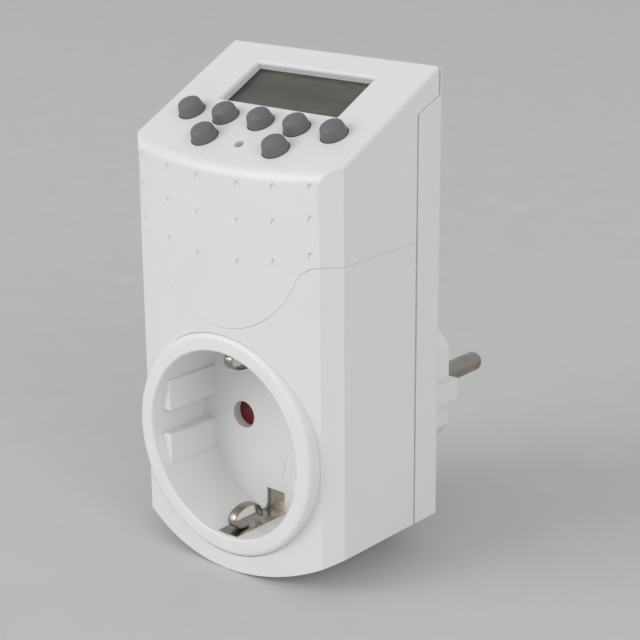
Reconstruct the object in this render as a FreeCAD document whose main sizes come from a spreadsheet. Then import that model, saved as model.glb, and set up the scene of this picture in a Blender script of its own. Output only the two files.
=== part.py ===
import FreeCAD, Part
import math
import os
import re
import Sketcher
from FreeCAD import Placement, Rotation, Vector

# A plug-in timer switch: a socket in front, a plug behind, and a sloped panel of keys on top.
# +X is the right of the person who faces it, the front looks along -Y and +Z is up.
# The origin is the middle of the plug's face, halfway between its two pins.

doc = FreeCAD.newDocument("plug_timer")
sheet = doc.addObject("Spreadsheet::Sheet", "sizes")

# Driving dimensions, in millimetres and degrees
SIZES = {
    "half_width": 29.6, "wall": 2.0, "seam": 0.5, "lip": 1.2,
    "corner_y": -56.8, "apex_y": -62.9, "crease_x": 26.0, "crease_y": -60.2,
    "rear_y": -23.0, "groove_y": -32.7, "far_y": -80.0,
    "corner_z": -20.8, "floor_z": -29.5, "high_z": 95.0, "low_z": -40.0,
    "panel_z": 65.6, "panel_slope": 26.92, "panel_back_y": -25.4, "rear_top_z": 80.6,
    "strip_low_z": 72.4, "strip_top_z": 75.5,
    "wave_low_z": 27.4, "wave_high_z": 44.6, "wave_end_x": 26.8, "wave_big": 22.0, "wave_small": 7.47,
    "dot_radius": 0.8, "dot_depth": 0.25,
    "ring_y": -63.4, "ring_radius": 25.4, "ring_base_radius": 25.7, "well_radius": 21.5, "well_depth": 17.5,
    "well_wall": 1.8, "pad_x": 18.4, "pad_half": 10.2, "groove_half": 2.9, "pad_start": 2.6,
    "hole_radius": 3.2, "pin_half_pitch": 9.5, "clip_width": 5.2,
    "pin_radius": 2.4, "pin_root_radius": 2.0, "pin_seat_y": -0.5, "pin_reach": 19.0, "plug_radius": 18.2, "plug_flat_x": 15.4, "plug_rib_x": 18.1,
    "plug_rib_half": 2.6, "collar_radius": 22.0, "collar_y": -19.0,
    "key_pitch": 10.2, "key_row": 9.0, "key_row_low": 1.5, "key_radius": 2.95, "key_top_radius": 2.45,
    "key_height": 3.1, "key_dome": 0.9, "key_play": 0.2, "key_flange": 3.7, "reset_radius": 1.1,
    "lcd_half": 16.8, "lcd_low": 14.8, "lcd_high": 28.8,
    "board_thick": 1.6,
    "boss_x": 24.0, "boss_y": -54.0, "boss_low_z": -14.0, "boss_high_z": 55.0, "boss_radius": 4.0,
    "screw_radius": 1.3, "board_y": -29.0, "earth_z": 17.2,
    "floor_y": -45.9, "floor_back_y": -43.7, "hub_radius": 2.1, "shutter_y": -43.5,
    "clip_z": 21.4, "clip_y": -62.1, "arch_z": 15.4, "strap_y": -38.9,
}
for row, (alias, value) in enumerate(SIZES.items(), start=1):
    sheet.set("A%d" % row, alias)
    sheet.set("B%d" % row, "%g" % value)
    sheet.setAlias("B%d" % row, alias)
doc.recompute()


def bound(text):
    """The expression that reads the sheet, from one that names its aliases."""
    return re.sub(r"[a-z_]+", lambda word: "sizes." + word[0] if word[0] in SIZES else word[0], str(text))


def value_of(text):
    """The number that an expression of aliases gives."""
    result = sheet.evalExpression(bound(text))
    return float(getattr(result, "Value", result))


def place(item, at, axis=None, angle="0"):
    """Binds an item's place, and its turn about one axis, to the sheet."""
    if axis is not None:
        item.Placement = Placement(Vector(), Rotation(Vector(*axis), value_of(angle)))
        item.setExpression("Placement.Rotation.Angle", bound("(%s) * 1 deg" % angle))
    for letter, text in zip("xyz", at):
        item.setExpression("Placement.Base." + letter, bound("(%s) * 1 mm" % text))
    return item


def on_panel(item):
    """Lays a piece made flat on the sloped panel: its x is X, its y runs up the slope, its z is outward."""
    return place(item, ("0", "corner_y", "panel_z"), (1, 0, 0), "panel_slope")


PLANES = {"XY": Rotation(), "XZ": Rotation(Vector(1, 0, 0), 90), "YZ": Rotation(Vector(1, 1, 1), 120)}


def draw(sketch, loops):
    """Draws closed loops whose corners, arc mid-points and radii are bound to the sheet.

    A loop is ("circle", x, y, radius), or a list of corners (x, y). A corner with four
    values, (x, y, middle x, middle y), starts an arc through that middle to the next corner.
    """
    def pin_point(geometry, position, along_x, along_y):
        for kind, text in (("DistanceX", along_x), ("DistanceY", along_y)):
            datum = Sketcher.Constraint(kind, -1, 1, geometry, position, value_of(text))
            index = sketch.addConstraint(datum)
            sketch.setExpression("Constraints[%d]" % index, bound(text))

    for loop in loops:
        if loop[0] == "circle":
            centre = Vector(value_of(loop[1]), value_of(loop[2]), 0)
            index = sketch.addGeometry(Part.Circle(centre, Vector(0, 0, 1), value_of(loop[3])), False)
            pin_point(index, 3, loop[1], loop[2])
            radius = sketch.addConstraint(Sketcher.Constraint("Radius", index, value_of(loop[3])))
            sketch.setExpression("Constraints[%d]" % radius, bound(loop[3]))
            continue
        corners = [Vector(value_of(corner[0]), value_of(corner[1]), 0) for corner in loop]
        ends = []
        for number, corner in enumerate(loop):
            start, finish = corners[number], corners[(number + 1) % len(corners)]
            if len(corner) == 2:
                index = sketch.addGeometry(Part.LineSegment(start, finish), False)
                first, last = 1, 2
            else:
                middle = Vector(value_of(corner[2]), value_of(corner[3]), 0)
                index = sketch.addGeometry(Part.Arc(start, middle, finish), False)
                turned = sketch.getPoint(index, 1).distanceToPoint(start) > 1e-6
                first, last = (2, 1) if turned else (1, 2)
                through = sketch.addGeometry(Part.Point(middle), True)
                pin_point(through, 1, corner[2], corner[3])
                sketch.addConstraint(Sketcher.Constraint("PointOnObject", through, 1, index))
            pin_point(index, first, corner[0], corner[1])
            ends.append((index, first, last))
        for here, following in zip(ends, ends[1:] + ends[:1]):
            sketch.addConstraint(Sketcher.Constraint("Coincident", here[0], here[2], following[0], following[1]))


def outline(name, plane, loops, offset="0"):
    """A sketch of its own on a plane of the frame, moved along that plane's normal."""
    sketch = doc.addObject("Sketcher::SketchObject", name)
    draw(sketch, loops)
    sketch.Placement = Placement(Vector(), PLANES[plane])
    letter, sign = {"XY": ("z", ""), "XZ": ("y", "-"), "YZ": ("x", "")}[plane]
    sketch.setExpression("Placement.Base." + letter, bound("%s(%s) * 1 mm" % (sign, offset)))
    return sketch


def extruded(name, plane, loops, start, end):
    """A solid drawn on a plane and drawn out from start to end along that plane's own axis."""
    letter = {"XY": (0, 0, 1), "XZ": (0, 1, 0), "YZ": (1, 0, 0)}[plane]
    base = outline(name + "_outline", plane, loops, "-(%s)" % start if plane == "XZ" else start)
    solid = doc.addObject("Part::Extrusion", name)
    solid.Base = base
    solid.DirMode = "Custom"
    solid.Dir = Vector(*letter)
    solid.Solid = True
    solid.setExpression("LengthFwd", bound("((%s) - (%s)) * 1 mm" % (end, start)))
    return solid


def block(name, low, high):
    """A box from its lowest to its highest corner."""
    box = doc.addObject("Part::Box", name)
    for side, start, end in zip(("Length", "Width", "Height"), low, high):
        box.setExpression(side, bound("((%s) - (%s)) * 1 mm" % (end, start)))
    return place(box, low)


def rod(name, at, radius, length, axis="z"):
    """A cylinder from a point along +X, +Y or +Z."""
    cylinder = doc.addObject("Part::Cylinder", name)
    cylinder.setExpression("Radius", bound("(%s) * 1 mm" % radius))
    cylinder.setExpression("Height", bound("(%s) * 1 mm" % length))
    turn = {"x": ((0, 1, 0), "90"), "y": ((1, 0, 0), "-90"), "z": (None, "0")}[axis]
    return place(cylinder, at, *turn)


def joined(name, *parts):
    """One piece made of several parts, or a lone part under a place of its own."""
    if len(parts) == 1:
        group = doc.addObject("Part::Compound", name)
        group.Links = list(parts)
        return group
    fuse = doc.addObject("Part::MultiFuse", name)
    fuse.Shapes = list(parts)
    fuse.Refine = True
    return fuse


def shared(name, *parts):
    common = doc.addObject("Part::MultiCommon", name)
    common.Shapes = list(parts)
    return common


def less(name, base, *tools):
    cut = doc.addObject("Part::Cut", name)
    cut.Base = base
    cut.Tool = tools[0] if len(tools) == 1 else joined(name + "_tools", *tools)
    return cut


def rounded(name, base, radius, chosen, kind="Fillet"):
    """Fillets or chamfers the edges of base that chosen picks by their middle point and direction."""
    doc.recompute()
    fillet = doc.addObject("Part::" + kind, name)
    fillet.Base = base
    picked = []
    for number, edge in enumerate(base.Shape.Edges, start=1):
        middle = edge.valueAt((edge.FirstParameter + edge.LastParameter) / 2)
        along = edge.tangentAt((edge.FirstParameter + edge.LastParameter) / 2)
        if chosen(middle, along):
            picked.append((number, value_of(radius), value_of(radius)))
    if not picked:
        raise SystemExit("no edge found for " + name)
    fillet.Edges = picked
    return fillet


def new_body(name):
    return doc.addObject("PartDesign::Body", name)


def body_sketch(body, name, plane, loops, offset="0"):
    """A sketch on one of a body's own origin planes, moved along that plane's normal."""
    sketch = body.newObject("Sketcher::SketchObject", name)
    role = plane + "_Plane"
    sketch.AttachmentSupport = [(next(f for f in body.Origin.OriginFeatures if f.Role == role), "")]
    sketch.MapMode = "FlatFace"
    sketch.setExpression("AttachmentOffset.Base.z", bound("(%s) * 1 mm" % offset))
    draw(sketch, loops)
    return sketch


def turned(body, name, plane, loops, axis):
    """A solid of revolution about one of the body's own axes, as X_Axis."""
    spin = body.newObject("PartDesign::Revolution", name)
    spin.Profile = body_sketch(body, name + "_sketch", plane, loops)
    spin.ReferenceAxis = (next(f for f in body.Origin.OriginFeatures if f.Role == axis), [""])
    spin.Angle = 360
    return spin


NODES = {}


def node(name, item):
    """Names an item as a finished piece."""
    item.Label = name
    NODES[name] = item
    return item


# Housing forms: the outside, the inside, and the inside of the locating lip
def housing_form(name, inset):
    """The housing's form: a bowed front, a sloped panel and a rounded bottom, drawn in by inset."""
    side, back = "half_width - (%s)" % inset, "rear_y - (%s)" % inset
    crease_x, crease_y = "crease_x - 0.3 * (%s)" % inset, "crease_y + (%s)" % inset
    corner, low, high = "corner_y + 0.6 * (%s)" % inset, "low_z", "high_z"
    drop = "(%s) / cos(panel_slope * 1 deg)" % inset
    rise = "tan(panel_slope * 1 deg)"
    plan = extruded(name + "_plan", "XY", [[
        ("-(%s)" % side, back), ("-(%s)" % side, corner),
        ("-(%s)" % crease_x, crease_y, "0", "apex_y + (%s)" % inset), (crease_x, crease_y),
        (side, corner), (side, back)]], low, high)
    profile = extruded(name + "_profile", "YZ", [[
        ("far_y", low), (back, low), (back, "rear_top_z - (%s)" % drop),
        ("panel_back_y - 0.4 * (%s)" % inset,
         "panel_z + (panel_back_y - 0.4 * (%s) - corner_y) * %s - %s" % (inset, rise, drop)),
        ("far_y", "panel_z + (far_y - corner_y) * %s - %s" % (rise, drop))]], "-40", "40")
    front = extruded(name + "_front", "XZ", [[
        ("-(%s)" % side, "high_z"), ("-(%s)" % side, "corner_z + 0.9 * (%s)" % inset,
         "0", "floor_z + (%s)" % inset),
        (side, "corner_z + 0.9 * (%s)" % inset), (side, "high_z")]], "far_y", "0")
    return shared(name, plan, profile, front)


outer = housing_form("outer_form", "0")
slope_rise = value_of("tan(panel_slope * 1 deg)")


def along_panel(point):
    """How far a point lies above the plane of the sloped panel."""
    return point.z - SIZES["panel_z"] - (point.y - SIZES["corner_y"]) * slope_rise


outer = rounded("outer_rear_round", outer, "2.0",
                lambda p, t: abs(p.y - SIZES["rear_y"]) < 0.05 and abs(t.z) > 0.9)
outer = rounded("outer_front_round", outer, "3.0",
                lambda p, t: abs(along_panel(p)) < 0.05 and p.y < SIZES["crease_y"] + 0.5)
outer = rounded("outer_side_round", outer, "0.9",
                lambda p, t: abs(along_panel(p)) < 0.05 and abs(abs(p.x) - SIZES["half_width"]) < 0.05)
inner = housing_form("inner_form", "wall")
lip_inner = housing_form("lip_inner_form", "wall + lip")
shell = less("shell_form", outer, inner)

WAVE_FALL = "(wave_low_z + wave_big)"
WAVE_REACH = "(wave_big / (wave_big + wave_small))"
WAVE_MID_X = "(wave_end_x * %s)" % WAVE_REACH
WAVE_MID_Z = "(%s + (wave_high_z - wave_small - %s) * %s)" % (WAVE_FALL, WAVE_FALL, WAVE_REACH)


def wave_region(name, above, gap):
    """All that lies above, or below, the waved seam between the two front covers."""
    far = "high_z" if above else "low_z"
    lift = "(%s)" % gap
    big_z = "%s - wave_big * cos(30 deg) + %s" % (WAVE_FALL, lift)
    small_z = "wave_high_z - wave_small + wave_small * cos(30 deg) + " + lift
    return extruded(name, "XZ", [[
        ("-40", far), ("-40", "wave_high_z + " + lift),
        ("-wave_end_x", "wave_high_z + " + lift, "-(wave_end_x - wave_small * sin(30 deg))", small_z),
        ("-" + WAVE_MID_X, WAVE_MID_Z + " + " + lift, "-(wave_big * sin(30 deg))", big_z),
        ("0", "wave_low_z + " + lift, "wave_big * sin(30 deg)", big_z),
        (WAVE_MID_X, WAVE_MID_Z + " + " + lift, "wave_end_x - wave_small * sin(30 deg)", small_z),
        ("wave_end_x", "wave_high_z + " + lift), ("40", "wave_high_z + " + lift), ("40", far)]], "far_y", "0")


def seam_profile(name, shift, forward):
    """The side view's region before, or behind, the groove that parts front and rear."""
    far = "far_y" if forward else "0"
    edge = "groove_y + " + shift
    return extruded(name, "YZ", [[
        (far, "low_z"), (edge, "low_z"), (edge, "strip_low_z"),
        ("panel_back_y + " + shift, "strip_top_z"), ("panel_back_y + " + shift, "high_z"),
        (far, "high_z")]], "-40", "40")


front_side = seam_profile("front_side", "0", True)
rear_side = seam_profile("rear_side", "seam", False)
above_wave = wave_region("above_wave", True, "0.12")
below_wave = wave_region("below_wave", False, "-0.12")

# Front upper cover: sloped panel with its key holes, display window and dimples
KEYS = [("key_%d" % (n + 1), "%d * key_pitch" % (n - 2), "key_row") for n in range(5)]
KEYS += [("key_6", "-key_pitch", "key_row_low"), ("key_7", "key_pitch", "key_row_low")]
upper_shell = shared("upper_shell", shell, front_side, above_wave)
key_holes = [rod(name + "_hole", (x, y, "-6"), "key_radius + key_play", "12") for name, x, y in KEYS]
reset_hole = rod("reset_hole", ("0", "key_row_low - 0.3", "-6"), "reset_radius", "12")
window_hole = block("window_hole", ("-lcd_half", "lcd_low", "-6"), ("lcd_half", "lcd_high", "6"))
panel_cuts = on_panel(joined("panel_cuts", *key_holes, reset_hole, window_hole))
upper_bare = less("upper_bare", upper_shell, panel_cuts)
DOT_COLUMNS = (5.75, 15.15, 24.05)
DOT_ROWS = ((61.3, -1.8), (54.6, -3.0), (46.9, -4.35))
dots = []
for row, (dot_z, sag) in enumerate(DOT_ROWS):
    for column, dot_x in enumerate(DOT_COLUMNS):
        for side in (-1, 1):
            name = "dot_%d_%d_%s" % (row, column, "left" if side < 0 else "right")
            bowed = SIZES["apex_y"] + dot_x ** 2 / (2 * 126.0)
            lift = dot_z + sag * (1 - (dot_x / 24.05) ** 2)
            dots.append(rod(name, ("%g" % (side * dot_x), "%g - 1" % bowed, "%g" % lift),
                            "dot_radius", "dot_depth + 1", "y"))

# Front lower cover: carries the socket insert in its round opening
lower_shell = shared("lower_shell", shell, front_side, below_wave)
lower_bosses = []
upper_bosses = []
for side in (-1, 1):
    hand = "left" if side < 0 else "right"
    lower_bosses.append(rod("lower_boss_" + hand, ("%d * boss_x" % side, "boss_y", "boss_low_z"),
                            "boss_radius", "groove_y - boss_y", "y"))
    upper_bosses.append(rod("upper_boss_" + hand, ("%d * boss_x" % side, "boss_y + 4", "boss_high_z"),
                            "boss_radius", "groove_y - boss_y - 4", "y"))
BOSS_PLACES = [(side + "boss_x", z) for z in ("boss_low_z", "boss_high_z") for side in ("-", "")]
boss_bores = [rod("boss_bore_%d" % n, (x, "boss_y + 5", z), "screw_radius", "40", "y")
              for n, (x, z) in enumerate(BOSS_PLACES)]
ring_hole = rod("ring_hole", ("0", "far_y", "0"), "ring_base_radius", "30", "y")
lower_carried = joined("lower_carried", less("lower_open", lower_shell, ring_hole),
                       *[shared("lower_boss_in_%d" % n, boss, outer) for n, boss in enumerate(lower_bosses)])
node("front_lower_cover", less("lower_cover_solid", lower_carried, *boss_bores[:2]))

# Front upper cover: the shell above, with its screw bosses, board bosses and dimples
board_bosses = on_panel(joined("board_bosses", *[
    rod("board_boss_%d" % n, (x, "27.5", "-6.8"), "2.6", "5.4") for n, x in enumerate(("-21.5", "21.5"))]))
board_bores = on_panel(joined("board_bores", *[
    rod("board_bore_%d" % n, (x, "27.5", "-7"), "0.9", "4.5") for n, x in enumerate(("-21.5", "21.5"))]))
upper_carried = joined("upper_carried", upper_bare, board_bosses,
                       *[shared("upper_boss_in_%d" % n, boss, outer) for n, boss in enumerate(upper_bosses)])
node("front_upper_cover", less("upper_cover_solid", upper_carried, board_bores, *dots, *boss_bores[2:]))

# Rear cover: shallow shell with locating lip, round collar and the moulded plug body
rear_shell = shared("rear_shell", shell, rear_side)
lip_wall = less("lip_wall", inner, lip_inner)
lip_slabs = [block("lip_slab", ("-40", "groove_y - 2.5", "low_z"), ("40", "groove_y + 4", "strip_low_z - 6"))]
for side, low_x, high_x in (("left", "-28", "-25.5"), ("right", "25.5", "28")):
    lip_slabs.append(block("lip_slab_" + side, (low_x, "groove_y - 2.5", "strip_low_z - 7"),
                           (high_x, "rear_y - 1.5", "strip_top_z + 0.8")))
lip_whole = shared("lip_whole", lip_wall, joined("lip_slabs", *lip_slabs))
lip_gaps = [rod("lip_gap_%d" % n, (x, "groove_y - 3", z), "boss_radius + 0.1", "3", "y")
            for n, (x, z) in enumerate(BOSS_PLACES)]
lip_ring = less("lip_ring", lip_whole, *lip_gaps)
collar = rod("collar", ("0", "rear_y - 1", "0"), "collar_radius", "collar_y - rear_y + 1", "y")
plug_flat_z = "sqrt(plug_radius * plug_radius - plug_flat_x * plug_flat_x)"
plug_stem = extruded("plug_stem", "XZ", [[
    ("-plug_flat_x", "-" + plug_flat_z, "0", "-plug_radius"), ("plug_flat_x", "-" + plug_flat_z),
    ("plug_flat_x", "-plug_rib_half"), ("plug_rib_x", "-plug_rib_half"), ("plug_rib_x", "plug_rib_half"),
    ("plug_flat_x", "plug_rib_half"), ("plug_flat_x", plug_flat_z, "0", "plug_radius"),
    ("-plug_flat_x", plug_flat_z), ("-plug_flat_x", "plug_rib_half"), ("-plug_rib_x", "plug_rib_half"),
    ("-plug_rib_x", "-plug_rib_half"), ("-plug_flat_x", "-plug_rib_half")]], "rear_y - 1", "0")
plug_stem = rounded("plug_nose", plug_stem, "0.7", lambda p, t: abs(p.y) < 0.01, "Chamfer")
rear_posts = [rod("rear_post_%d" % n, (x, "groove_y + 0.5", z), "boss_radius", "rear_y - groove_y - 1.5", "y")
              for n, (x, z) in enumerate(BOSS_PLACES)]
BOARD_POSTS = [(x, z) for z in ("28", "56") for x in ("-15.5", "15.5")]
board_posts = [rod("board_post_%d" % n, (x, "board_y", z), "2.6", "rear_y - board_y - 1", "y")
               for n, (x, z) in enumerate(BOARD_POSTS)]
post_bores = [rod("post_bore_%d" % n, (x, "board_y - 1", z), "0.9", "5", "y")
              for n, (x, z) in enumerate(BOARD_POSTS)]
rear_joined = joined("rear_joined", rear_shell, lip_ring, collar, plug_stem, *board_posts,
                     *[shared("rear_post_in_%d" % n, post, outer) for n, post in enumerate(rear_posts)])
pin_bores = [rod("pin_bore_%d" % n, (x, "rear_y - 3", "0"), "pin_root_radius", "30", "y")
             for n, x in enumerate(("-pin_half_pitch", "pin_half_pitch"))]
pin_bores += [rod("pin_seat_%d" % n, (x, "pin_seat_y", "0"), "pin_radius + 0.01", "2", "y")
              for n, x in enumerate(("-pin_half_pitch", "pin_half_pitch"))]
screw_ways = [rod("screw_way_%d" % n, (x, "groove_y - 1", z), "screw_radius + 0.1", "12", "y")
              for n, (x, z) in enumerate(BOSS_PLACES)]
screw_seats = [rod("screw_seat_%d" % n, (x, "rear_y - 2.2", z), "3.0", "3", "y")
               for n, (x, z) in enumerate(BOSS_PLACES)]
earth_ways = [block("earth_way_top", ("-2.5", "rear_y - 6", "earth_z"), ("2.5", "-1.5", "plug_radius + 1")),
              block("earth_way_low", ("-2.5", "rear_y - 6", "-plug_radius - 1"), ("2.5", "-1.5", "-earth_z"))]
earth_keep = rod("earth_keep", ("0", "rear_y - 7", "0"), "plug_radius + 0.1", "40", "y")
earth_cuts = [shared("earth_cut_%d" % n, way, earth_keep) for n, way in enumerate(earth_ways)]
node("rear_cover", less("rear_cover_solid", rear_joined, *pin_bores, *screw_ways, *screw_seats,
                        *post_bores, *earth_cuts))

# Socket insert: ring, well and floor turned as one, with four guide pads and two slotted walls
insert = new_body("insert_turned")
turned(insert, "insert_spin", "XY", [[
    ("0", "floor_y"), ("well_radius", "floor_y"), ("well_radius", "ring_y + 0.5"),
    ("well_radius + 0.5", "ring_y"), ("ring_radius - 0.9", "ring_y"), ("ring_radius", "ring_y + 0.9"),
    ("ring_base_radius", "corner_y - 1"), ("ring_base_radius", "corner_y + 2"),
    ("well_radius + well_wall", "corner_y + 2"), ("well_radius + well_wall", "floor_back_y"),
    ("18", "floor_back_y"), ("18", "floor_back_y + 1.7"), ("16.4", "floor_back_y + 1.7"),
    ("16.4", "floor_back_y"), ("hub_radius", "floor_back_y"), ("hub_radius", "floor_back_y + 1.7"),
    ("0", "floor_back_y + 1.7")]], "Y_Axis")
pads = []
for x_side in (-1, 1):
    for z_side in (-1, 1):
        name = "pad_%s_%s" % ("left" if x_side < 0 else "right", "low" if z_side < 0 else "high")
        low_x, high_x = ("pad_x", "well_radius + 1") if x_side > 0 else ("-well_radius - 1", "-pad_x")
        low_z, high_z = ("groove_half", "pad_half") if z_side > 0 else ("-pad_half", "-groove_half")
        pads.append(block(name, (low_x, "ring_y + pad_start", low_z), (high_x, "floor_y + 0.5", high_z)))
pad_limit = rod("pad_limit", ("0", "ring_y", "0"), "well_radius + 0.5", "well_depth + 1", "y")
pad_solids = [shared("pad_solid_%d" % n, pad, pad_limit) for n, pad in enumerate(pads)]
floor_holes = [rod("floor_hole_%d" % n, (x, "floor_y - 1", "0"), "hole_radius", "4", "y")
               for n, x in enumerate(("-pin_half_pitch", "pin_half_pitch"))]
wall_slots = [block("wall_slot_top", ("-3", "ring_y + 1.2", "clip_z - 1"), ("3", "floor_back_y + 3", "clip_z + 1")),
              block("wall_slot_low", ("-3", "ring_y + 1.2", "-clip_z - 1"), ("3", "floor_back_y + 3", "1 - clip_z"))]
floor_slots = [block("floor_slot_top", ("-3", "floor_y - 1", "16.2"), ("3", "floor_back_y + 3", "clip_z + 1")),
               block("floor_slot_low", ("-3", "floor_y - 1", "-clip_z - 1"), ("3", "floor_back_y + 3", "-16.2"))]
node("socket_insert", less("insert_solid", joined("insert_joined", insert, *pad_solids),
                           *floor_holes, *wall_slots, *floor_slots))

# Shutter: a red bar that turns on the hub behind the floor, its retainer and its spring
shutter_bar = block("shutter_bar", ("-15.6", "shutter_y", "-4"), ("15.6", "shutter_y + 1.3", "4"))
shutter_disc = rod("shutter_disc", ("0", "shutter_y", "0"), "15.6", "1.3", "y")
shutter_bore = rod("shutter_bore", ("0", "shutter_y - 1", "0"), "hub_radius + 0.05", "4", "y")
node("shutter", less("shutter_solid", shared("shutter_trim", shutter_bar, shutter_disc), shutter_bore))
plate = rod("retainer_disc", ("0", "floor_back_y + 1.7", "0"), "18", "1.3", "y")
plate_holes = [rod("retainer_hole_%d" % n, (x, "floor_back_y", "0"), "hole_radius + 0.2", "5", "y")
               for n, x in enumerate(("-pin_half_pitch", "pin_half_pitch"))]
plate_slots = [block("retainer_slot_top", ("-3.2", "floor_back_y", "16"), ("3.2", "floor_back_y + 5", "20")),
               block("retainer_slot_low", ("-3.2", "floor_back_y", "-20"), ("3.2", "floor_back_y + 5", "-16"))]
node("shutter_retainer", less("retainer_solid", plate, *plate_holes, *plate_slots))
spring_coil = rod("spring_coil", ("0", "floor_back_y + 3", "0"), "3.4", "1.3", "y")
spring_eye = rod("spring_eye", ("0", "floor_back_y + 2", "0"), "2.6", "4", "y")
node("shutter_spring", less("spring_solid", spring_coil, spring_eye))

# Earth strap: one bent strip whose two ends carry the arched springs in the socket wall
strap_parts = []
for side in (1, -1):
    tag = "top" if side > 0 else "low"
    wall = (lambda a, b: (a, b)) if side > 0 else (lambda a, b: ("-(%s)" % b, "-(%s)" % a))
    low, high = wall("clip_z", "clip_z + 0.8")
    strap_parts.append(block("strap_leg_" + tag, ("-clip_width / 2", "clip_y", low),
                             ("clip_width / 2", "strap_y + 0.8", high)))
    low, high = wall("16.4", "clip_z + 0.4")
    strap_parts.append(block("strap_step_" + tag, ("-clip_width / 2", "floor_y + 0.6", low),
                             ("clip_width / 2", "floor_y + 1.4", high)))
    sign = "" if side > 0 else "-"
    foot, crown = sign + "(clip_z + 0.1)", sign + "(arch_z)"
    inner_foot, inner_crown = foot, sign + "(arch_z + 0.6)"
    outer_arch = extruded("arch_outer_" + tag, "YZ", [[
        ("clip_y + 0.6", foot, "clip_y + 6", crown), ("clip_y + 11.4", foot)]],
        "-clip_width / 2", "clip_width / 2")
    inner_arch = extruded("arch_inner_" + tag, "YZ", [[
        ("clip_y + 1.2", inner_foot, "clip_y + 6", inner_crown), ("clip_y + 10.8", inner_foot)]],
        "-clip_width / 2 - 1", "clip_width / 2 + 1")
    strap_parts.append(less("arch_" + tag, outer_arch, inner_arch))
strap_parts.append(block("strap_back", ("-clip_width / 2", "strap_y", "-clip_z - 0.4"),
                         ("clip_width / 2", "strap_y + 0.8", "clip_z + 0.4")))
node("earth_strap", joined("earth_strap_solid", *strap_parts))
node("plug_earth_contacts", joined("plug_earth_solid", *[
    shared("plug_earth_%d" % n, block("plug_earth_bar_%d" % n, ("-2.5", "strap_y + 0.8", low), ("2.5", "-1.5", high)),
           rod("plug_earth_limit_%d" % n, ("0", "strap_y", "0"), "plug_radius - 0.1", "50", "y"))
    for n, (low, high) in enumerate((("earth_z", "plug_radius"), ("-plug_radius", "-earth_z")))]))

# Live and neutral: the plug's pins, the socket's spring sleeves and what joins them
for name, x in (("live_pin", "-pin_half_pitch"), ("neutral_pin", "pin_half_pitch")):
    pin = new_body(name + "_body")
    turned(pin, name + "_spin", "XY", [[
        ("0", "rear_y - 3.6"), ("3.4", "rear_y - 3.6"), ("3.4", "rear_y - 2"),
        ("pin_root_radius", "rear_y - 2"), ("pin_root_radius", "0"), ("pin_radius", "0"),
        ("pin_radius", "pin_reach - 1.6", "pin_radius - 0.5", "pin_reach - 0.5"),
        ("pin_radius - 1.5", "pin_reach"), ("0", "pin_reach")]], "Y_Axis")
    node(name, place(pin, (x, "0", "0")))
for name, x in (("live_socket_contact", "-pin_half_pitch"), ("neutral_socket_contact", "pin_half_pitch")):
    sleeve = rod(name + "_sleeve", (x, "floor_back_y + 3.2", "0"), "3.1", "10", "y")
    way = rod(name + "_way", (x, "floor_back_y + 2", "0"), "2.35", "14", "y")
    slit = block(name + "_slit", (x + " - 4", "floor_back_y + 2", "-0.4"), (x + " + 4", "floor_back_y + 9", "0.4"))
    node(name, less(name + "_solid", sleeve, way, slit))
node("neutral_link", block("neutral_link_bar", ("pin_half_pitch + 3.4", "floor_back_y + 10", "-2"),
                           ("pin_half_pitch + 3.9", "rear_y - 2.2", "2")))
node("switched_lead", rod("switched_lead_rod", ("-pin_half_pitch", "-35", "3.1"), "0.9", "26.9"))


def lead(name, points, radius):
    """A round wire along straight runs joined by tangent arcs as large as the runs allow."""
    edges, here = [], points[0]
    for before, corner, after in zip(points, points[1:], points[2:]):
        back, ahead = (before - corner), (after - corner)
        reach = 0.45 * min(back.Length, ahead.Length)
        back.normalize()
        ahead.normalize()
        start, finish = corner + back * reach, corner + ahead * reach
        half = back.getAngle(ahead) / 2
        bend = reach * math.tan(half)
        middle_way = (back + ahead).normalize()
        middle = corner + middle_way * (reach / math.cos(half) - bend)
        edges.append(Part.LineSegment(here, start).toShape())
        edges.append(Part.Arc(start, middle, finish).toShape())
        here = finish
    edges.append(Part.LineSegment(here, points[-1]).toShape())
    path = Part.Wire(edges)
    circle = Part.Wire(Part.Circle(points[0], points[1] - points[0], radius).toShape())
    tube = doc.addObject("Part::Feature", name)
    tube.Shape = path.makePipeShell([circle], True, False)
    return tube


for name, x in (("live_lead", -SIZES["pin_half_pitch"]), ("neutral_lead", SIZES["pin_half_pitch"])):
    y_pin, y_board = SIZES["rear_y"] - 2.8, SIZES["board_y"] - 0.8
    node(name, lead(name + "_tube", [Vector(x, y_pin, 3.4), Vector(x, y_pin, 13.0),
                                     Vector(x, y_board, 18.0), Vector(x, y_board, 24.0)], 0.8))

# Power board with what stands on it
board_front = "board_y - board_thick"
node("power_board", less("power_board_solid", block("power_board_plate", ("-18.8", board_front, "24"),
                                                    ("18.8", "board_y", "60")),
                         *[rod("board_way_%d" % n, (x, "board_y - 3", z), "0.9", "5", "y")
                           for n, (x, z) in enumerate(BOARD_POSTS)]))
relay = block("relay_block", ("-18", board_front + " - 15.5", "32"), ("-1", board_front, "46"))
node("relay", rounded("relay_round", relay, "0.8", lambda p, t: abs(t.y) > 0.9))
film = block("film_block", ("3", board_front + " - 8", "32"), ("18", board_front, "40"))
node("film_capacitor", rounded("film_round", film, "0.8", lambda p, t: abs(t.y) > 0.9))
node("electrolytic_capacitor", rod("electrolytic_can", ("9", board_front + " - 12", "46"), "4", "12", "y"))
node("rectifier_diodes", joined("diode_group", *[
    rod("diode_%d" % n, ("13.6", board_front + " - 1.2", "%g" % (43 + 3.1 * n)), "1.2", "4.6", "x")
    for n in range(4)]))
node("series_resistor", rod("resistor_rod", ("-18", board_front + " - 2", "50.5"), "2", "12", "x"))
node("varistor", rod("varistor_disc", ("0", board_front + " - 4", "51"), "4.4", "4", "y"))

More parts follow.
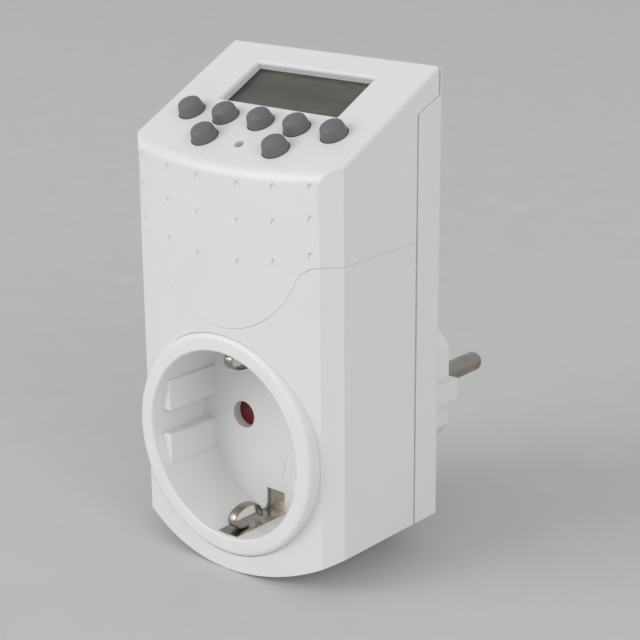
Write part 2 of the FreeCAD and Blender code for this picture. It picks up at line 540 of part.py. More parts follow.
# Case screws and board screws, each group one piece of several solids
case_screws = []
for n, (x, z) in enumerate(BOSS_PLACES):
    head = rod("case_head_%d" % n, (x, "rear_y - 2.2", z), "2.8", "1.4", "y")
    shank = rod("case_shank_%d" % n, (x, "rear_y - 18", z), "screw_radius", "16", "y")
    cross = [block("case_cross_%d_a" % n, (x + " - 1.6", "rear_y - 1.6", z + " - 0.35"),
                   (x + " + 1.6", "rear_y", z + " + 0.35")),
             block("case_cross_%d_b" % n, (x + " - 0.35", "rear_y - 1.6", z + " - 1.6"),
                   (x + " + 0.35", "rear_y", z + " + 1.6"))]
    case_screws.append(less("case_screw_%d" % n, joined("case_screw_blank_%d" % n, head, shank), *cross))
node("case_screws", joined("case_screw_group", *case_screws))
power_screws = []
for n, (x, z) in enumerate(BOARD_POSTS):
    power_screws.append(joined("power_screw_%d" % n,
                               rod("power_head_%d" % n, (x, board_front + " - 1.2", z), "1.9", "1.2", "y"),
                               rod("power_shank_%d" % n, (x, board_front, z), "0.9", "5", "y")))
node("power_board_screws", joined("power_screw_group", *power_screws))

# Display and control board, stacked under the panel
node("lcd_window", on_panel(joined("lcd_window_solid", block(
    "lcd_window_plate", ("-lcd_half - 1.5", "lcd_low - 1.4", "-wall - 1"),
    ("lcd_half + 1.5", "lcd_high + 1.4", "-wall")))))
node("lcd_panel", on_panel(joined("lcd_panel_solid", block(
    "lcd_panel_glass", ("-lcd_half - 0.7", "lcd_low - 0.9", "-5.6"), ("lcd_half + 0.7", "lcd_high + 0.9", "-wall - 1")))))
node("zebra_strips", on_panel(joined("zebra_group", *[
    block("zebra_%d" % n, ("-lcd_half", low, "-6.8"), ("lcd_half", high, "-5.6"))
    for n, (low, high) in enumerate((("14.4", "15.8"), ("27.8", "29.2")))])))
control_plate = block("control_plate", ("-24.5", "-2", "-6.8 - board_thick"), ("24.5", "30.2", "-6.8"))
control_ways = [rod("control_way_%d" % n, (x, "27.5", "-10"), "0.9", "5") for n, x in enumerate(("-21.5", "21.5"))]
node("control_board", on_panel(less("control_board_solid", control_plate, *control_ways)))
board_back = "-6.8 - board_thick"
node("board_screws", on_panel(joined("board_screw_group", *[
    joined("board_screw_%d" % n, rod("board_head_%d" % n, (x, "27.5", board_back + " - 1.2"), "1.9", "1.2"),
           rod("board_shank_%d" % n, (x, "27.5", board_back), "0.9", "5.6"))
    for n, x in enumerate(("-21.5", "21.5"))])))
node("microcontroller", on_panel(joined("microcontroller_blob", rod(
    "microcontroller_rod", ("-11.5", "21", board_back + " - 1.4"), "4.2", "1.4"))))
node("crystal", on_panel(joined("crystal_can", rod(
    "crystal_rod", ("4", "22", board_back + " - 1"), "1", "7", "x"))))
node("backup_cell", on_panel(joined("backup_cell_can", rod(
    "backup_cell_rod", ("13", "6", board_back + " - 5"), "5.8", "5"))))
node("ribbon_cable", extruded("ribbon_strip", "YZ", [[
    ("-37.3", "65.98"), ("-36.6", "66.34"), ("-36.6", "60.6"), (board_front, "57.2"),
    (board_front, "56.2"), ("-37.3", "59.9")]], "-6", "6"))

# Keypad mat: a silicone sheet with one collar round each key's stem
mat_sheet = block("mat_sheet", ("-25", "-2", "-6.8"), ("25", "12.8", "-5.8"))
mat_collars = [rod(name + "_collar", (x, y, "-6"), "2.9", "1.4") for name, x, y in KEYS]
mat_ways = [rod(name + "_way", (x, y, "-8"), "2", "5") for name, x, y in KEYS]
mat_ways.append(rod("reset_way", ("0", "key_row_low - 0.3", "-8"), "1.5", "5"))
node("keypad_mat", on_panel(less("mat_solid", joined("mat_joined", mat_sheet, *mat_collars), *mat_ways)))

# Keys: turned caps with a domed top, a flange that the panel holds back and a stem
DOME = "((key_top_radius * key_top_radius + key_dome * key_dome) / (2 * key_dome))"
DOME_MID_Z = "key_height - %s + sqrt(%s * %s - key_top_radius * key_top_radius / 4)" % (DOME, DOME, DOME)
for name, x, y in KEYS:
    key = new_body(name + "_body")
    turned(key, name + "_spin", "XZ", [[
        ("0", "-5.5"), ("1.6", "-5.5"), ("1.6", "-3.25"), ("key_flange", "-3.25"), ("key_flange", "-2.1"),
        ("key_radius", "-2.1"), ("key_radius", "0.4"),
        ("key_top_radius", "key_height - key_dome", "key_top_radius / 2", DOME_MID_Z),
        ("0", "key_height")]], "Z_Axis")
    place(key, (x, "corner_y + (%s) * cos(panel_slope * 1 deg)" % y,
                "panel_z + (%s) * sin(panel_slope * 1 deg)" % y), (1, 0, 0), "panel_slope")
    node(name, key)
reset = new_body("reset_body")
turned(reset, "reset_spin", "XZ", [[
    ("0", "-5.9"), ("0.9", "-5.9"), ("0.9", "-3.3"), ("1.6", "-3.3"), ("1.6", "-2.1"),
    ("0.85", "-2.1"), ("0.85", "-0.9"), ("0", "-0.9")]], "Z_Axis")
node("reset_key", place(reset, ("0", "corner_y + (key_row_low - 0.3) * cos(panel_slope * 1 deg)",
                                "panel_z + (key_row_low - 0.3) * sin(panel_slope * 1 deg)"), (1, 0, 0), "panel_slope"))

# Checks, then one file for each piece
doc.recompute()
faults = [item.Name for item in doc.Objects if {"Invalid", "Error"} & set(item.State)]
faults += [name for name, item in NODES.items() if item.Shape.isNull() or not item.Shape.isValid()]
if faults:
    raise SystemExit("failed: " + ", ".join(faults))
os.makedirs("parts", exist_ok=True)
for name, item in NODES.items():
    item.Shape.exportStep("parts/%s.step" % name)
    print("%-24s %9.1f mm3  %d solids" % (name, item.Shape.Volume, len(item.Shape.Solids)))
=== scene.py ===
import math
import bmesh
import bpy
from mathutils import Matrix, Vector


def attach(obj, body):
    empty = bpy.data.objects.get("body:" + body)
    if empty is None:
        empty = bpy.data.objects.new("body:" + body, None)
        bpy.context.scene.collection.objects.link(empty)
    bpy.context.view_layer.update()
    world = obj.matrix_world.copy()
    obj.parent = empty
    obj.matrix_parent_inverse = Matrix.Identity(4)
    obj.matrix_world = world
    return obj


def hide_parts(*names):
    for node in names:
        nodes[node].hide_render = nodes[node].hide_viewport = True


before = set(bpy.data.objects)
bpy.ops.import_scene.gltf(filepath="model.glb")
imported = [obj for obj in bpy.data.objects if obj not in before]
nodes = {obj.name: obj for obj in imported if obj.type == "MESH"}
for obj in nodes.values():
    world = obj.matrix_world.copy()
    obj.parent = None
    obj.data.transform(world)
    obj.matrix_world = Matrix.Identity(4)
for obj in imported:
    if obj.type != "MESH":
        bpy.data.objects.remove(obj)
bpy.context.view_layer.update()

# Rear cover.
# The shallow back half of the housing, injection moulded in glossy white plastic. Its round
# collar and plug body are part of the same moulding, and four screws hold it to the front.


def new_skin(name, dials):
    """A skin group with nothing in it yet: colour and dials go in; colour, roughness, normal come out."""
    group = bpy.data.node_groups.new(name, "ShaderNodeTree")
    group.interface.new_socket(name="Color", in_out="INPUT", socket_type="NodeSocketColor")
    for label, start in dials:
        dial = group.interface.new_socket(name=label, in_out="INPUT", socket_type="NodeSocketFloat")
        dial.default_value = start
    group.interface.new_socket(name="Color", in_out="OUTPUT", socket_type="NodeSocketColor")
    group.interface.new_socket(name="Roughness", in_out="OUTPUT", socket_type="NodeSocketFloat")
    group.interface.new_socket(name="Normal", in_out="OUTPUT", socket_type="NodeSocketVector")
    return group


def moulded_skin():
    """The skin of a moulding: fine grain in the gloss, and faint clouds in its colour and shine."""
    group = new_skin("moulded_skin", (
        ("Roughness", 0.3), ("Grain Scale", 2500.0), ("Grain Depth", 0.1), ("Unevenness", 0.03)))
    tree, link = group.nodes, group.links.new
    entry, leave = tree.new("NodeGroupInput"), tree.new("NodeGroupOutput")
    place = tree.new("ShaderNodeTexCoord")
    grain, cloud = tree.new("ShaderNodeTexNoise"), tree.new("ShaderNodeTexNoise")
    grain.inputs["Detail"].default_value = 3.0
    cloud.inputs["Scale"].default_value = 70.0
    cloud.inputs["Detail"].default_value = 4.0
    link(place.outputs["Object"], grain.inputs["Vector"])
    link(place.outputs["Object"], cloud.inputs["Vector"])
    link(entry.outputs["Grain Scale"], grain.inputs["Scale"])
    spread = tree.new("ShaderNodeMapRange")
    spread.inputs["From Min"].default_value = 0.3
    spread.inputs["From Max"].default_value = 0.7
    spread.inputs["To Min"].default_value = -1.0
    spread.inputs["To Max"].default_value = 1.0
    link(cloud.outputs["Fac"], spread.inputs["Value"])
    swing = tree.new("ShaderNodeMath")
    swing.operation = "MULTIPLY"
    link(spread.outputs["Result"], swing.inputs[0])
    link(entry.outputs["Unevenness"], swing.inputs[1])
    shade = tree.new("ShaderNodeMath")
    shade.operation = "ADD"
    shade.inputs[1].default_value = 1.0
    link(swing.outputs[0], shade.inputs[0])
    tint = tree.new("ShaderNodeMix")
    tint.data_type = "RGBA"
    tint.blend_type = "MULTIPLY"
    tint.inputs["Factor"].default_value = 1.0
    link(entry.outputs["Color"], tint.inputs["A"])
    link(shade.outputs[0], tint.inputs["B"])
    dulled = tree.new("ShaderNodeMath")
    dulled.operation = "MULTIPLY_ADD"
    dulled.inputs[1].default_value = 1.6
    link(swing.outputs[0], dulled.inputs[0])
    link(entry.outputs["Roughness"], dulled.inputs[2])
    dimple = tree.new("ShaderNodeBump")
    dimple.inputs["Distance"].default_value = 0.00004
    link(grain.outputs["Fac"], dimple.inputs["Height"])
    link(entry.outputs["Grain Depth"], dimple.inputs["Strength"])
    link(tint.outputs["Result"], leave.inputs["Color"])
    link(dulled.outputs[0], leave.inputs["Roughness"])
    link(dimple.outputs["Normal"], leave.inputs["Normal"])
    return group


MOULDED_SKIN = moulded_skin()


def finish_of(name, skin, colour, dials, metallic=0.0, coat=0.0, ior=1.5):
    """A material: its skin drives colour, roughness and relief, and the shader keeps the rest."""
    material = bpy.data.materials.new(name)
    material.use_nodes = True
    tree, link = material.node_tree.nodes, material.node_tree.links.new
    shader = tree["Principled BSDF"]
    layer = tree.new("ShaderNodeGroup")
    layer.node_tree = skin
    layer.inputs["Color"].default_value = (*colour, 1.0)
    for label, value in dials.items():
        layer.inputs[label].default_value = value
    shader.inputs["Metallic"].default_value = metallic
    shader.inputs["Coat Weight"].default_value = coat
    shader.inputs["Coat Roughness"].default_value = 0.08
    shader.inputs["IOR"].default_value = ior
    link(layer.outputs["Color"], shader.inputs["Base Color"])
    link(layer.outputs["Roughness"], shader.inputs["Roughness"])
    link(layer.outputs["Normal"], shader.inputs["Normal"])
    return material


def moulded(name, colour, roughness, grain, depth, uneven, coat=0.0, ior=1.5):
    """A finish with the moulded skin, which also serves laminate, rubber, dips and the table top."""
    dials = {"Roughness": roughness, "Grain Scale": grain, "Grain Depth": depth, "Unevenness": uneven}
    return finish_of(name, MOULDED_SKIN, colour, dials, coat=coat, ior=ior)


def fair_copy(name, node, soften=0.0):
    """A smooth copy of a CAD piece, with its edges eased by a moulding radius in millimetres."""
    bm = bmesh.new()
    bm.from_mesh(nodes[node].data)
    bmesh.ops.remove_doubles(bm, verts=bm.verts, dist=2e-6)
    bmesh.ops.dissolve_limit(bm, angle_limit=math.radians(0.5), verts=bm.verts, edges=bm.edges)
    mesh = bpy.data.meshes.new(name)
    bm.to_mesh(mesh)
    bm.free()
    piece = bpy.data.objects.new(name, mesh)
    bpy.context.collection.objects.link(piece)
    return eased(piece, soften)


def eased(piece, soften=0.0, sharp=34):
    """Smooth shading that keeps edges past a sharp angle in degrees, eased by a radius in millimetres."""
    piece.data.shade_smooth()
    piece.data.set_sharp_from_angle(angle=math.radians(sharp))
    if soften:
        bevel = piece.modifiers.new("eased_edges", "BEVEL")
        bevel.width = soften / 1000
        bevel.segments = 2
        bevel.limit_method = "ANGLE"
        bevel.angle_limit = math.radians(sharp)
        bevel.harden_normals = True
    weigh = piece.modifiers.new("flat_faces_stay_flat", "WEIGHTED_NORMAL")
    weigh.keep_sharp = True
    return piece


def fit(piece, material, slot, body, *replaced):
    """Gives a piece its finish, its body and the CAD pieces that it stands for."""
    piece.data.materials.append(material)
    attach(piece, body)
    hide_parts(*replaced)


def paint(material, *names):
    """Gives CAD pieces that stay as they are their finish."""
    for name in names:
        piece = nodes[name]
        if not piece.material_slots:
            piece.data.materials.append(material)
        for place in piece.material_slots:
            place.link = "OBJECT"
            place.material = material


white_gloss = moulded("glossy_white_moulding", (0.80, 0.80, 0.81), roughness=0.34,
                      grain=1400.0, depth=0.18, uneven=0.012, ior=1.52)
rear_cover = fair_copy("rear_shell_and_plug", "rear_cover", soften=0.18)
fit(rear_cover, white_gloss, "white_case", "housing", "rear_cover")

# Earth strip and the plug's earth contacts.
# One strip of springy nickel-plated bronze is bent into a U behind the well. Each end is folded
# over into an arched spring that leans on the side of an appliance's plug.


def metal_skin():
    """The skin of plated or drawn metal: fine drawn lines, and duller, darker patches that are partly
    tarnish and partly painted dark reflection.
    """
    group = new_skin("metal_skin", (
        ("Roughness", 0.3), ("Line Scale", 4000.0), ("Line Depth", 0.1), ("Tarnish And Painted Reflection", 0.1)))
    tree, link = group.nodes, group.links.new
    entry, leave = tree.new("NodeGroupInput"), tree.new("NodeGroupOutput")
    place, stretch = tree.new("ShaderNodeTexCoord"), tree.new("ShaderNodeMapping")
    stretch.inputs["Scale"].default_value = (1.0, 0.06, 1.0)
    lines, patches = tree.new("ShaderNodeTexNoise"), tree.new("ShaderNodeTexNoise")
    lines.inputs["Detail"].default_value = 2.0
    patches.inputs["Scale"].default_value = 260.0
    patches.inputs["Detail"].default_value = 5.0
    link(place.outputs["Object"], stretch.inputs["Vector"])
    link(stretch.outputs["Vector"], lines.inputs["Vector"])
    link(place.outputs["Object"], patches.inputs["Vector"])
    link(entry.outputs["Line Scale"], lines.inputs["Scale"])
    where = tree.new("ShaderNodeMapRange")
    where.inputs["From Min"].default_value = 0.45
    where.inputs["From Max"].default_value = 0.75
    link(patches.outputs["Fac"], where.inputs["Value"])
    amount = tree.new("ShaderNodeMath")
    amount.operation = "MULTIPLY"
    link(where.outputs["Result"], amount.inputs[0])
    link(entry.outputs["Tarnish And Painted Reflection"], amount.inputs[1])
    # Painted dark reflection as well as tarnish: in the noise patches the colour darkens towards dark brown.
    dark = tree.new("ShaderNodeMix")
    dark.data_type = "RGBA"
    dark.inputs["B"].default_value = (0.16, 0.12, 0.08, 1.0)
    link(amount.outputs[0], dark.inputs["Factor"])
    link(entry.outputs["Color"], dark.inputs["A"])
    dulled = tree.new("ShaderNodeMath")
    dulled.operation = "MULTIPLY_ADD"
    dulled.inputs[1].default_value = 0.8
    link(amount.outputs[0], dulled.inputs[0])
    link(entry.outputs["Roughness"], dulled.inputs[2])
    scratch = tree.new("ShaderNodeBump")
    scratch.inputs["Distance"].default_value = 0.00003
    link(lines.outputs["Fac"], scratch.inputs["Height"])
    link(entry.outputs["Line Depth"], scratch.inputs["Strength"])
    link(dark.outputs["Result"], leave.inputs["Color"])
    link(dulled.outputs[0], leave.inputs["Roughness"])
    link(scratch.outputs["Normal"], leave.inputs["Normal"])
    return group


METAL_SKIN = metal_skin()


def bright_metal(name, colour, roughness, lines, depth, tarnish_and_painted_reflection):
    """A finish with the metal skin."""
    dials = {"Roughness": roughness, "Line Scale": lines, "Line Depth": depth, "Tarnish And Painted Reflection": tarnish_and_painted_reflection}
    return finish_of(name, METAL_SKIN, colour, dials, metallic=1.0)


def settled(bm, name):
    """A piece from a bmesh worked in millimetres: doubles merged, faces outward, in metres."""
    bmesh.ops.remove_doubles(bm, verts=bm.verts, dist=0.0005)
    bmesh.ops.recalc_face_normals(bm, faces=bm.faces)
    bmesh.ops.scale(bm, vec=(0.001, 0.001, 0.001), verts=bm.verts)
    mesh = bpy.data.meshes.new(name)
    bm.to_mesh(mesh)
    bm.free()
    piece = bpy.data.objects.new(name, mesh)
    bpy.context.collection.objects.link(piece)
    return piece


def polyline(bm, points):
    """Vertices joined in a row by edges."""
    row = [bm.verts.new(point) for point in points]
    edges = [bm.edges.new(pair) for pair in zip(row, row[1:])]
    return row, edges


def bent_strip(name, rows, width, thick, rounds=0):
    """A strip bent along each row of (y, z) points, of that width across X and that thickness."""
    bm = bmesh.new()
    for points in rows:
        row, edges = polyline(bm, [(-width / 2, y, z) for y, z in points])
        grown = bmesh.ops.extrude_edge_only(bm, edges=edges)["geom"]
        far_side = [item for item in grown if isinstance(item, bmesh.types.BMVert)]
        bmesh.ops.translate(bm, vec=(width, 0, 0), verts=far_side)
    piece = settled(bm, name)
    wall = piece.modifiers.new("sheet_thickness", "SOLIDIFY")
    wall.thickness = thick / 1000
    wall.offset = 0.0
    if rounds:
        rolled = piece.modifiers.new("rolled", "SUBSURF")
        rolled.levels = rounds
        rolled.render_levels = rounds
    return eased(piece, soften=0.0 if rounds else 0.06, sharp=30)


# The nickel's colour and its tarnish are kept dark as painted dark reflection, on top of the plating's own
# colour and tarnish.
nickel = bright_metal("nickel_plating", (0.40, 0.37, 0.33), roughness=0.22,
                      lines=5200.0, depth=0.25, tarnish_and_painted_reflection=0.4)
strip_front, strip_back, strip_side = -62.05, -38.6, 21.8
tie_y, tie_low, tie_high = -44.9, 16.45, 21.5
bend = [(strip_front, strip_side), (strip_back, strip_side),
        (strip_back, -strip_side), (strip_front, -strip_side)]
ties = [[(tie_y, side * tie_low), (tie_y, side * tie_high)] for side in (1, -1)]
strip = bent_strip("earth_strip", [bend, *ties], width=5.2, thick=0.75)
fit(strip, nickel, "nickel", "housing", "earth_strap")
arch_outline = ((-55.2, 21.15), (-58.4, 21.1), (-60.3, 20.3), (-60.85, 18.7), (-59.9, 17.2),
                (-57.7, 16.4), (-55.2, 16.3), (-52.9, 17.0), (-51.8, 18.6), (-51.5, 20.9))
for name, side in (("earth_arch_top", 1), ("earth_arch_low", -1)):
    arch = bent_strip(name, [[(y, side * z) for y, z in arch_outline]], width=2.7, thick=0.6, rounds=2)
    fit(arch, nickel, "nickel", "housing", "earth_strap")
side_contacts = fair_copy("earth_side_contacts", "plug_earth_contacts", soften=0.1)
fit(side_contacts, nickel, "nickel", "housing", "plug_earth_contacts")

# The two pins.
# Turned brass rods, nickel plated, 4.8 mm across, whose inner flange is moulded into the plug body.
# Their ends are rounded so that they find the holes of a wall socket.


def spun(outline, axis, steps):
    """A shape turned about an axis through the origin, from an outline of (radius, place along it)."""
    bm = bmesh.new()
    row, edges = polyline(bm, [Vector((radius, 0, 0)) + along * Vector(axis) for radius, along in outline])
    bmesh.ops.spin(bm, geom=row + edges, cent=(0, 0, 0), axis=axis, angle=math.tau, steps=steps,
                   use_merge=True)
    return bm


pin_offset, pin_radius, root_radius, flange_radius = 9.5, 2.4, 2.0, 3.4
flange_back, flange_front, pin_end = -26.6, -25.0, 19.0
pin_outline = (
    (0, flange_back), (flange_radius, flange_back), (flange_radius, flange_front),
    (root_radius, flange_front), (root_radius, 0), (pin_radius, 0), (pin_radius, 16.8), (2.36, 17.3),
    (2.22, 17.85), (1.98, 18.35), (1.6, 18.75), (1.1, 18.95), (0, pin_end))
for node, side in (("live_pin", -1), ("neutral_pin", 1)):
    bm = spun(pin_outline, axis=(0, 1, 0), steps=64)
    bmesh.ops.translate(bm, vec=(side * pin_offset, 0, 0), verts=bm.verts)
    pin = eased(settled(bm, node + "_turned"), sharp=40)
    fit(pin, nickel, "nickel", "housing", node)

# Sleeves, link and leads behind the well.
# Slit brass sleeves grip an appliance's pins. A brass strip and sleeved copper leads join them to
# the plug's pins and to the power board.
brass = bright_metal("bare_brass", (0.72, 0.50, 0.20), roughness=0.28, lines=5200.0, depth=0.2, tarnish_and_painted_reflection=0.3)
blue_sleeving = moulded("blue_sleeving", (0.05, 0.09, 0.42), roughness=0.5,
                        grain=3200.0, depth=0.3, uneven=0.06)
paint(brass, "live_socket_contact", "neutral_socket_contact", "neutral_link")
paint(blue_sleeving, "switched_lead", "live_lead", "neutral_lead")

# Power board and what stands on it.
# A plain laminate board carries the relay, the mains dropper and its rectifier. Each part is
# soldered through the board, and four screws hold it to posts of the rear cover.
laminate = moulded("green_laminate", (0.05, 0.20, 0.08), roughness=0.35,
                   grain=1900.0, depth=0.5, uneven=0.12, coat=0.4)
black_moulding = moulded("black_moulding", (0.022, 0.022, 0.025), roughness=0.42,
                         grain=3600.0, depth=0.35, uneven=0.08)
yellow_dip = moulded("yellow_dip", (0.62, 0.42, 0.06), roughness=0.3,
                     grain=900.0, depth=0.5, uneven=0.08, coat=0.3)
paint(laminate, "power_board")
paint(black_moulding, "relay", "electrolytic_capacitor", "rectifier_diodes")
paint(yellow_dip, "film_capacitor", "series_resistor", "varistor")

# Screws.
# Zinc-plated cross-head screws: four through the rear cover, four in the power board and two in
# the control board, each cutting its own thread in a plastic boss.
zinc = bright_metal("zinc_plating", (0.58, 0.59, 0.60), roughness=0.3, lines=3000.0, depth=0.3, tarnish_and_painted_reflection=0.15)
case_screws = fair_copy("case_screw_set", "case_screws", soften=0.08)
fit(case_screws, zinc, "steel", "housing", "case_screws")
paint(zinc, "power_board_screws", "board_screws")

# Socket insert.
# Ring, well and floor in one satin white moulding, pressed into the lower front cover. Four guide
# pads fit the flats of an appliance's plug, and two slots let the earth springs through the wall.


def box_between(bm, corner, opposite):
    """A block between two corners."""
    size = [abs(b - a) for a, b in zip(corner, opposite)]
    middle = [(a + b) / 2 for a, b in zip(corner, opposite)]
    shape = Matrix.Translation(middle) @ Matrix.Diagonal((*size, 1.0))
    return bmesh.ops.create_cube(bm, size=1.0, matrix=shape)["verts"]


def disc_through(bm, x, z, radius, low, high):
    """A round plug that runs along Y from low to high."""
    turn = Matrix.Translation((x, (low + high) / 2, z)) @ Matrix.Rotation(math.radians(90), 4, "X")
    bmesh.ops.create_cone(bm, cap_ends=True, segments=72, radius1=radius, radius2=radius,
                          depth=high - low, matrix=turn)


def carve(piece, bm, how="DIFFERENCE"):
    """Takes a shape made in millimetres from a piece, or adds it, and keeps the result as its mesh."""
    tool = settled(bm, "tool")
    change = piece.modifiers.new("carve", "BOOLEAN")
    change.operation = how
    change.solver = "EXACT"
    change.object = tool
    bpy.context.view_layer.update()
    result = bpy.data.meshes.new_from_object(piece.evaluated_get(bpy.context.evaluated_depsgraph_get()))
    piece.modifiers.clear()
    piece.data = result
    bpy.data.objects.remove(tool)


satin_white = moulded("satin_white_moulding", (0.83, 0.83, 0.825), roughness=0.36,
                      grain=1700.0, depth=0.22, uneven=0.015)
well_radius, wall_radius, ring_radius = 21.5, 23.3, 25.7
floor_front, floor_back, rib_back = -45.9, -43.7, -42.0
ring_back, ring_front, step_back = -57.8, -63.4, -54.8
insert_outline = (
    (0, floor_front), (21.2, floor_front), (21.42, -45.98), (well_radius, -46.2), (well_radius, -62.8),
    (21.62, -63.15), (21.95, ring_front), (24.3, ring_front), (24.9, -63.3), (25.35, -63.0), (25.6, -62.5),
    (25.68, -61.9), (ring_radius, ring_back), (ring_radius, step_back), (wall_radius, step_back),
    (wall_radius, floor_back), (18, floor_back), (18, rib_back), (16.4, rib_back), (16.4, floor_back),
    (2.1, floor_back), (2.1, rib_back), (0, rib_back))
insert = settled(spun(insert_outline, axis=(0, 1, 0), steps=144), "socket_well_and_ring")

pad_inner, pad_outer, pad_low, pad_high, pad_front, pad_back = 18.4, 22.4, 2.9, 10.2, -60.8, -45.4
mark_x, mark_z, mark_radius, mark_front, mark_back = 0.3, -9.8, 2.7, -45.98, -45.0
bm = bmesh.new()
for side in (-1, 1):
    for end in (-1, 1):
        corners = box_between(bm, (side * pad_inner, pad_front, end * pad_low),
                              (side * pad_outer, pad_back, end * pad_high))
        rims = {edge for corner in corners for edge in corner.link_edges}
        bmesh.ops.bevel(bm, geom=list(rims), offset=0.35, segments=3, profile=0.5, affect="EDGES",
                        material=-1)
disc_through(bm, mark_x, mark_z, mark_radius, mark_front, mark_back)
carve(insert, bm, "UNION")

hole_radius, hole_front, hole_back = 3.2, -48, -42.5
slot_half, slot_front, slot_back, slot_near, slot_far = 3, -62.2, -40.7, 20.4, 22.4
bm = bmesh.new()
for side in (-1, 1):
    disc_through(bm, side * pin_offset, 0, hole_radius, hole_front, hole_back)
    box_between(bm, (-slot_half, slot_front, side * slot_near), (slot_half, slot_back, side * slot_far))
carve(insert, bm)
notch_half, notch_front, notch_back, notch_near = 2.7, -47, -40.6, 16.2
bm = bmesh.new()
for side in (-1, 1):
    box_between(bm, (-notch_half, notch_front, side * notch_near),
                (notch_half, notch_back, side * well_radius))
carve(insert, bm)
fit(eased(insert), satin_white, "white_insert", "housing", "socket_insert")

# Shutter, its retainer and its spring.
# A dark red bar turns on the hub behind the floor and closes both holes. A white plate holds it,
# and a small steel spring turns it back.
red_moulding = moulded("dark_red_moulding", (0.17, 0.007, 0.011), roughness=0.3,
                       grain=2600.0, depth=0.25, uneven=0.08)
shutter_bar = fair_copy("red_shutter_bar", "shutter", soften=0.1)
fit(shutter_bar, red_moulding, "red_shutter", "shutter", "shutter")
paint(satin_white, "shutter_retainer")
paint(nickel, "shutter_spring")

# Front lower cover.
# The bowed front below the waved seam, in the same glossy white plastic as the rear. It carries the
# socket insert in its round opening and two screw bosses inside.
lower_cover = fair_copy("front_cover_below_seam", "front_lower_cover", soften=0.12)
seam_lowest, seam_lift = 26.5 / 1000, 0.17 / 1000
bm = bmesh.new()
bm.from_mesh(lower_cover.data)
seam = {vert for face in bm.faces for vert in face.verts
        if abs(face.normal.y) < 0.01 and face.normal.z > 0.2 and face.calc_center_median().z > seam_lowest}
bmesh.ops.translate(bm, vec=(0, 0, seam_lift), verts=list(seam))
bm.to_mesh(lower_cover.data)
bm.free()
fit(lower_cover, white_gloss, "white_case", "housing", "front_lower_cover")

# Front upper cover.
# The bowed front above the seam and the sloped panel, in one glossy white moulding. Shallow dimples
# are sunk in its face, and the panel has the display window, the key holes and the reset hole.
upper_cover = fair_copy("front_cover_with_panel", "front_upper_cover", soften=0.12)
panel_slope = math.radians(26.92)
on_panel = Matrix.Translation((0, -56.8, 65.6)) @ Matrix.Rotation(panel_slope, 4, "X")
from_panel = on_panel.inverted()
display_reach, display_low, display_high, rim_round = 17.0, 14.7, 28.9, 0.7
bm = bmesh.new()
bm.from_mesh(upper_cover.data)
mouth = set()
for vert in bm.verts:
    across, up, height = from_panel @ (vert.co * 1000)
    if abs(height) < 0.1 and abs(across) < display_reach and display_low < up < display_high:
        mouth.add(vert)
rim = [edge for edge in bm.edges if mouth.issuperset(edge.verts)
       and any(abs((from_panel.to_3x3() @ face.normal).z) < 0.1 for face in edge.link_faces)]
bmesh.ops.bevel(bm, geom=rim, offset=rim_round / 1000, segments=3, profile=0.5, affect="EDGES", material=-1)
bm.to_mesh(upper_cover.data)
bm.free()
upper_cover.data.set_sharp_from_angle(angle=math.radians(34))
fit(upper_cover, white_gloss, "white_case", "housing", "front_upper_cover")

# Display window and display.
# A clear acrylic sheet is glued behind the opening, over a grey-green liquid crystal glass that is
# blank here. Striped rubber strips press the glass's contacts onto the control board.
clear_sheet = bpy.data.materials.new("clear_acrylic")
clear_sheet.use_nodes = True
tree, link = clear_sheet.node_tree.nodes, clear_sheet.node_tree.links.new
shader = tree["Principled BSDF"]
shader.inputs["Base Color"].default_value = (0.93, 0.95, 0.93, 1.0)
shader.inputs["Transmission Weight"].default_value = 1.0
shader.inputs["IOR"].default_value = 1.3
place, haze, span = (tree.new("ShaderNodeTexCoord"), tree.new("ShaderNodeTexNoise"),
                     tree.new("ShaderNodeMapRange"))
haze.inputs["Scale"].default_value = 180.0
span.inputs["To Min"].default_value = 0.02
span.inputs["To Max"].default_value = 0.07
link(place.outputs["Object"], haze.inputs["Vector"])
link(haze.outputs["Fac"], span.inputs["Value"])
link(span.outputs["Result"], shader.inputs["Roughness"])
fit(fair_copy("display_window", "lcd_window"), clear_sheet, "window", "housing", "lcd_window")
display_glass = moulded("grey_green_display", (0.23, 0.25, 0.20), roughness=0.3,
                        grain=5000.0, depth=0.05, uneven=0.05, coat=0.3)
striped_rubber = moulded("contact_rubber", (0.10, 0.10, 0.11), roughness=0.7,
                         grain=6000.0, depth=0.6, uneven=0.2)
paint(display_glass, "lcd_panel")
paint(striped_rubber, "zebra_strips")

# Control board and its parts.
# A second laminate board lies under the panel, held by two screws. It carries the chip under its
# black blob, the clock crystal, the cell that keeps the time, and the ribbon to the power board.
ribbon_grey = moulded("ribbon_grey", (0.45, 0.45, 0.46), roughness=0.5, grain=2200.0, depth=0.5, uneven=0.1)
paint(laminate, "control_board")
paint(black_moulding, "microcontroller")
paint(zinc, "crystal", "backup_cell")
paint(ribbon_grey, "ribbon_cable")

# Keypad mat.
# One sheet of grey silicone rubber with a soft collar round each key's stem, which pushes the key
# back up and presses a carbon dot onto the control board.
grey_silicone = moulded("grey_silicone", (0.30, 0.30, 0.31), roughness=0.65,
                        grain=2400.0, depth=0.4, uneven=0.05)
paint(grey_silicone, "keypad_mat")

# Keys.
# Seven round keys with domed caps and the recessed reset key, moulded in matte grey plastic. Each
# drops in from behind, and its flange stops under the panel.
key_grey = moulded("matte_grey_key", (0.155, 0.155, 0.165), roughness=0.5,
                   grain=2800.0, depth=0.5, uneven=0.05)


def turned_key(name, outline, across, up):
    """A turned key, from its outline of (radius, height), set square in the sloped panel."""
    bm = spun(outline, axis=(0, 0, 1), steps=64)
    bmesh.ops.transform(bm, matrix=on_panel @ Matrix.Translation((across, up, 0)), verts=bm.verts)
    return eased(settled(bm, name), sharp=40)


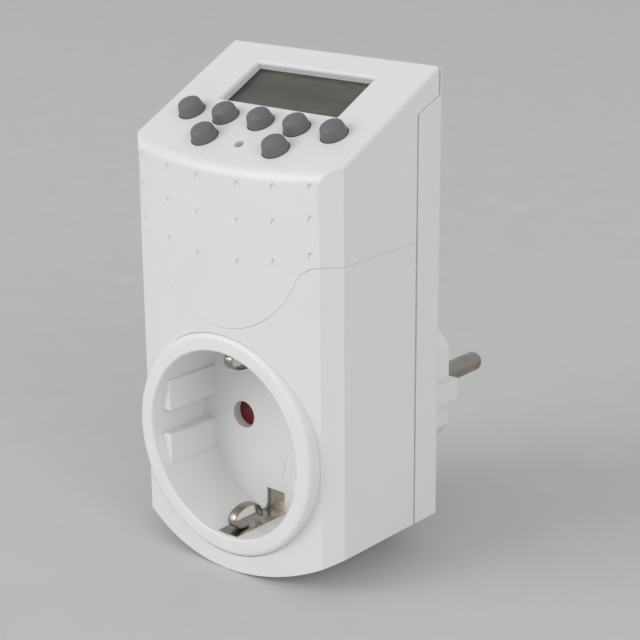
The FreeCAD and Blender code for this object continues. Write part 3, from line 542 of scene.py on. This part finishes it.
key_pitch, upper_row, lower_row, reset_up = 10.2, 9, 1.5, 1.2
key_places = [(step * key_pitch, upper_row) for step in (-2, -1, 0, 1, 2)]
key_places += [(step * key_pitch, lower_row) for step in (-1, 1)]
key_outline = (
    (0, -5.5), (1.6, -5.5), (1.6, -3.25), (3.7, -3.25), (3.7, -2.1), (2.95, -2.1), (2.93, 0.4), (2.62, 1.9),
    (2.52, 2.2), (2.36, 2.42), (2.1, 2.6), (1.7, 2.78), (1.2, 2.94), (0.6, 3.06), (0, 3.1))
reset_outline = (
    (0, -5.9), (0.9, -5.9), (0.9, -3.3), (1.6, -3.3), (1.6, -2.1), (0.85, -2.1), (0.85, -1.0),
    (0.75, -0.9), (0, -0.9))
for number, (across, up) in enumerate(key_places, start=1):
    cap = turned_key("round_key_%d" % number, key_outline, across, up)
    fit(cap, key_grey, "grey_key", "key_%d" % number, "key_%d" % number)
stem = turned_key("reset_stem", reset_outline, 0, reset_up)
fit(stem, key_grey, "grey_key", "reset_key", "reset_key")

# The table, the lamps and the camera.
# The timer stands on a pale grey table top, in the light of a large soft lamp high on the left and a
# weak one on the right. The camera looks down at it from the right, as in the photograph.
pale_table = moulded("pale_table", (0.62, 0.615, 0.60), roughness=0.85, grain=300.0, depth=0.1, uneven=0.015)
table_level, table_half = -29.6, 4000
bm = bmesh.new()
bmesh.ops.create_grid(bm, x_segments=2, y_segments=2, size=table_half)
bmesh.ops.translate(bm, vec=(0, 0, table_level), verts=bm.verts)
table = settled(bm, "table_top")
table.data.materials.append(pale_table)


def soft_lamp(name, place, aim, width, power):
    """A square soft lamp that faces a point."""
    lamp = bpy.data.lights.new(name, "AREA")
    lamp.shape = "SQUARE"
    lamp.size = width
    lamp.energy = power
    item = bpy.data.objects.new(name, lamp)
    item.location = place
    item.rotation_euler = (Vector(place) - Vector(aim)).to_track_quat("Z", "Y").to_euler()
    bpy.context.collection.objects.link(item)


timer_middle = (0, -0.04, 0.03)
soft_lamp("high_left_lamp", (-1.6, -2.7, 1.5), timer_middle, width=2.4, power=46.0)
soft_lamp("low_right_lamp", (2.6, -1.2, 1.3), timer_middle, width=1.8, power=22.0)
world = bpy.data.worlds.new("studio")
world.use_nodes = True
world.node_tree.nodes["Background"].inputs["Color"].default_value = (1.0, 1.0, 1.0, 1.0)
world.node_tree.nodes["Background"].inputs["Strength"].default_value = 0.55
bpy.context.scene.world = world

eye = (0.24513, -0.31621, 0.14301)
bearing, dip, roll = math.radians(41.033), math.radians(17.953), math.radians(-0.56)
ahead = Vector((-math.sin(bearing) * math.cos(dip), math.cos(bearing) * math.cos(dip), -math.sin(dip)))
level = Vector((math.cos(bearing), math.sin(bearing), 0.0))
upright = level.cross(ahead)
right = math.cos(roll) * level + math.sin(roll) * upright
top = -math.sin(roll) * level + math.cos(roll) * upright
camera = bpy.data.objects.new("photo_camera", bpy.data.cameras.new("photo_camera"))
camera.matrix_world = Matrix.Translation(eye) @ Matrix((right, top, -ahead)).transposed().to_4x4()
camera.data.sensor_width = 36.0
camera.data.lens = 97.2
camera.data.shift_x = 0.0209
camera.data.shift_y = -0.001
bpy.context.collection.objects.link(camera)
bpy.context.scene.camera = camera
bpy.context.scene.view_settings.view_transform = "Standard"
